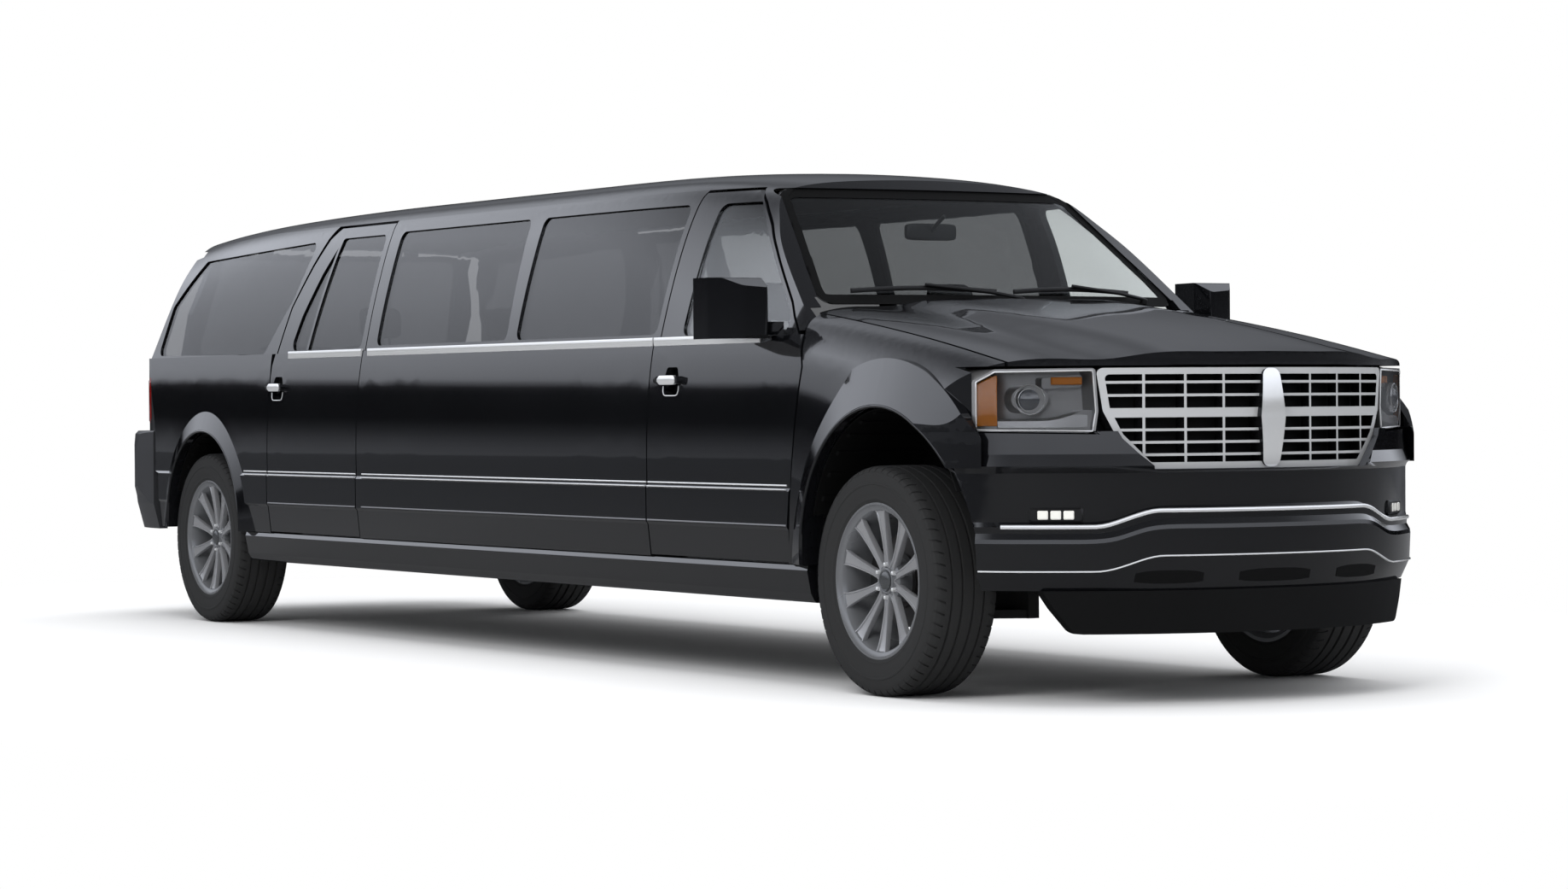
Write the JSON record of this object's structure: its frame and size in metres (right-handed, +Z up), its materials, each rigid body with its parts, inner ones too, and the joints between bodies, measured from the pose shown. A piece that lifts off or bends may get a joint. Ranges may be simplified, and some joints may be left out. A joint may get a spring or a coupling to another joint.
{
  "type": "stretch limousine",
  "caption": "Black stretched sport-utility limousine with hinged doors, hood and liftgate, steered front wheels and tinted side glass.",
  "frame": {"origin": "on the ground, half way along the vehicle and on its centre plane", "axes": "+X forward, +Y to the vehicle's left, +Z up"},
  "size_m": [8.3158, 2.3826, 1.956],
  "materials": {
    "paint": "gloss black",
    "tinted_glass": "dark tint",
    "bright_trim": "polished",
    "lamp_glass": "clear",
    "red_lamp": "gloss red",
    "black_plastic": "matte",
    "frame_steel": "satin black",
    "pan_steel": "matte black",
    "exhaust_steel": "dull",
    "cast_block": "cast",
    "seat_leather": "black leather",
    "tyre_rubber": "rubber",
    "rim_alloy": "satin grey"
  },
  "bodies": {
    "chassis": {"frame_rails": "frame_steel", "floor_pan": "pan_steel", "front_fenders": "paint", "stretch_panels": "paint", "quarter_panels": "paint", "roof_panel": "paint", "cowl": "black_plastic", "windshield": "tinted_glass", "cabin_glass": "tinted_glass", "grille": "bright_trim", "headlamps": "lamp_glass", "front_bumper": "paint", "air_dam": "black_plastic", "radiator_support": "black_plastic", "rear_bumper": "paint", "tail_lamps": "red_lamp", "rocker_panels": "paint", "engine_block": "cast_block", "dashboard": "black_plastic", "steering_wheel": "black_plastic", "front_seats": "seat_leather", "lounge_seats": "seat_leather", "rear_bench": "seat_leather", "partition": "pan_steel", "rear_axle": "frame_steel", "exhaust": "exhaust_steel", "fuel_tank": "pan_steel", "front_suspension": "frame_steel"},
    "hood": {"hood": "paint"},
    "liftgate": {"liftgate": "paint", "liftgate_glass": "tinted_glass"},
    "front_door_right": {"door_front_right": "paint", "window_front_right": "tinted_glass", "mirror_right": "paint"},
    "rear_door_right": {"door_rear_right": "paint", "window_rear_right": "tinted_glass"},
    "knuckle_right": {"knuckle_right": "frame_steel"},
    "front_wheel_right": {"tyre_front_right": "tyre_rubber", "rim_front_right": "rim_alloy"},
    "rear_wheel_right": {"tyre_rear_right": "tyre_rubber", "rim_rear_right": "rim_alloy"},
    "front_door_left": {"door_front_left": "paint", "window_front_left": "tinted_glass", "mirror_left": "paint"},
    "rear_door_left": {"door_rear_left": "paint", "window_rear_left": "tinted_glass"},
    "knuckle_left": {"knuckle_left": "frame_steel"},
    "front_wheel_left": {"tyre_front_left": "tyre_rubber", "rim_front_left": "rim_alloy"},
    "rear_wheel_left": {"tyre_rear_left": "tyre_rubber", "rim_rear_left": "rim_alloy"}
  },
  "joints": [
    {"name": "front_door_right_hinge", "type": "hinge", "parent": "chassis", "child": "front_door_right", "pos_m": [2.645, -1.014, 0.45], "axis": [0, 0.0499, 0.9988], "range_deg": [0, 65]},
    {"name": "rear_door_right_hinge", "type": "hinge", "parent": "chassis", "child": "rear_door_right", "pos_m": [-1.17, -1.014, 0.45], "axis": [0, 0.0499, 0.9988], "range_deg": [0, 65]},
    {"name": "steer_right", "type": "hinge", "parent": "chassis", "child": "knuckle_right", "pos_m": [3.118, -0.8, 0.4055], "axis": [0, 0, 1], "range_deg": [-30, 30]},
    {"name": "front_wheel_right_spin", "type": "hinge", "parent": "knuckle_right", "child": "front_wheel_right", "pos_m": [3.118, -0.851, 0.4055], "axis": [0, 1, 0], "continuous": true},
    {"name": "rear_wheel_right_spin", "type": "hinge", "parent": "chassis", "child": "rear_wheel_right", "pos_m": [-2.953, -0.851, 0.4055], "axis": [0, 1, 0], "continuous": true},
    {"name": "front_door_left_hinge", "type": "hinge", "parent": "chassis", "child": "front_door_left", "pos_m": [2.645, 1.014, 0.45], "axis": [0, 0.0499, -0.9988], "range_deg": [0, 65]},
    {"name": "rear_door_left_hinge", "type": "hinge", "parent": "chassis", "child": "rear_door_left", "pos_m": [-1.17, 1.014, 0.45], "axis": [0, 0.0499, -0.9988], "range_deg": [0, 65]},
    {"name": "steer_left", "type": "hinge", "parent": "chassis", "child": "knuckle_left", "pos_m": [3.118, 0.8, 0.4055], "axis": [0, 0, 1], "range_deg": [-30, 30]},
    {"name": "front_wheel_left_spin", "type": "hinge", "parent": "knuckle_left", "child": "front_wheel_left", "pos_m": [3.118, 0.851, 0.4055], "axis": [0, 1, 0], "continuous": true},
    {"name": "rear_wheel_left_spin", "type": "hinge", "parent": "chassis", "child": "rear_wheel_left", "pos_m": [-2.953, 0.851, 0.4055], "axis": [0, 1, 0], "continuous": true},
    {"name": "hood_hinge", "type": "hinge", "parent": "chassis", "child": "hood", "pos_m": [2.533, 0, 1.375], "axis": [0, -1, 0], "range_deg": [0, 60]},
    {"name": "liftgate_hinge", "type": "hinge", "parent": "chassis", "child": "liftgate", "pos_m": [-3.593, 0, 1.803], "axis": [0, 1, 0], "range_deg": [0, 85]}
  ],
  "couplings": [
    {"joint": "steer_left", "follows": "steer_right", "ratio": 1}
  ]
}
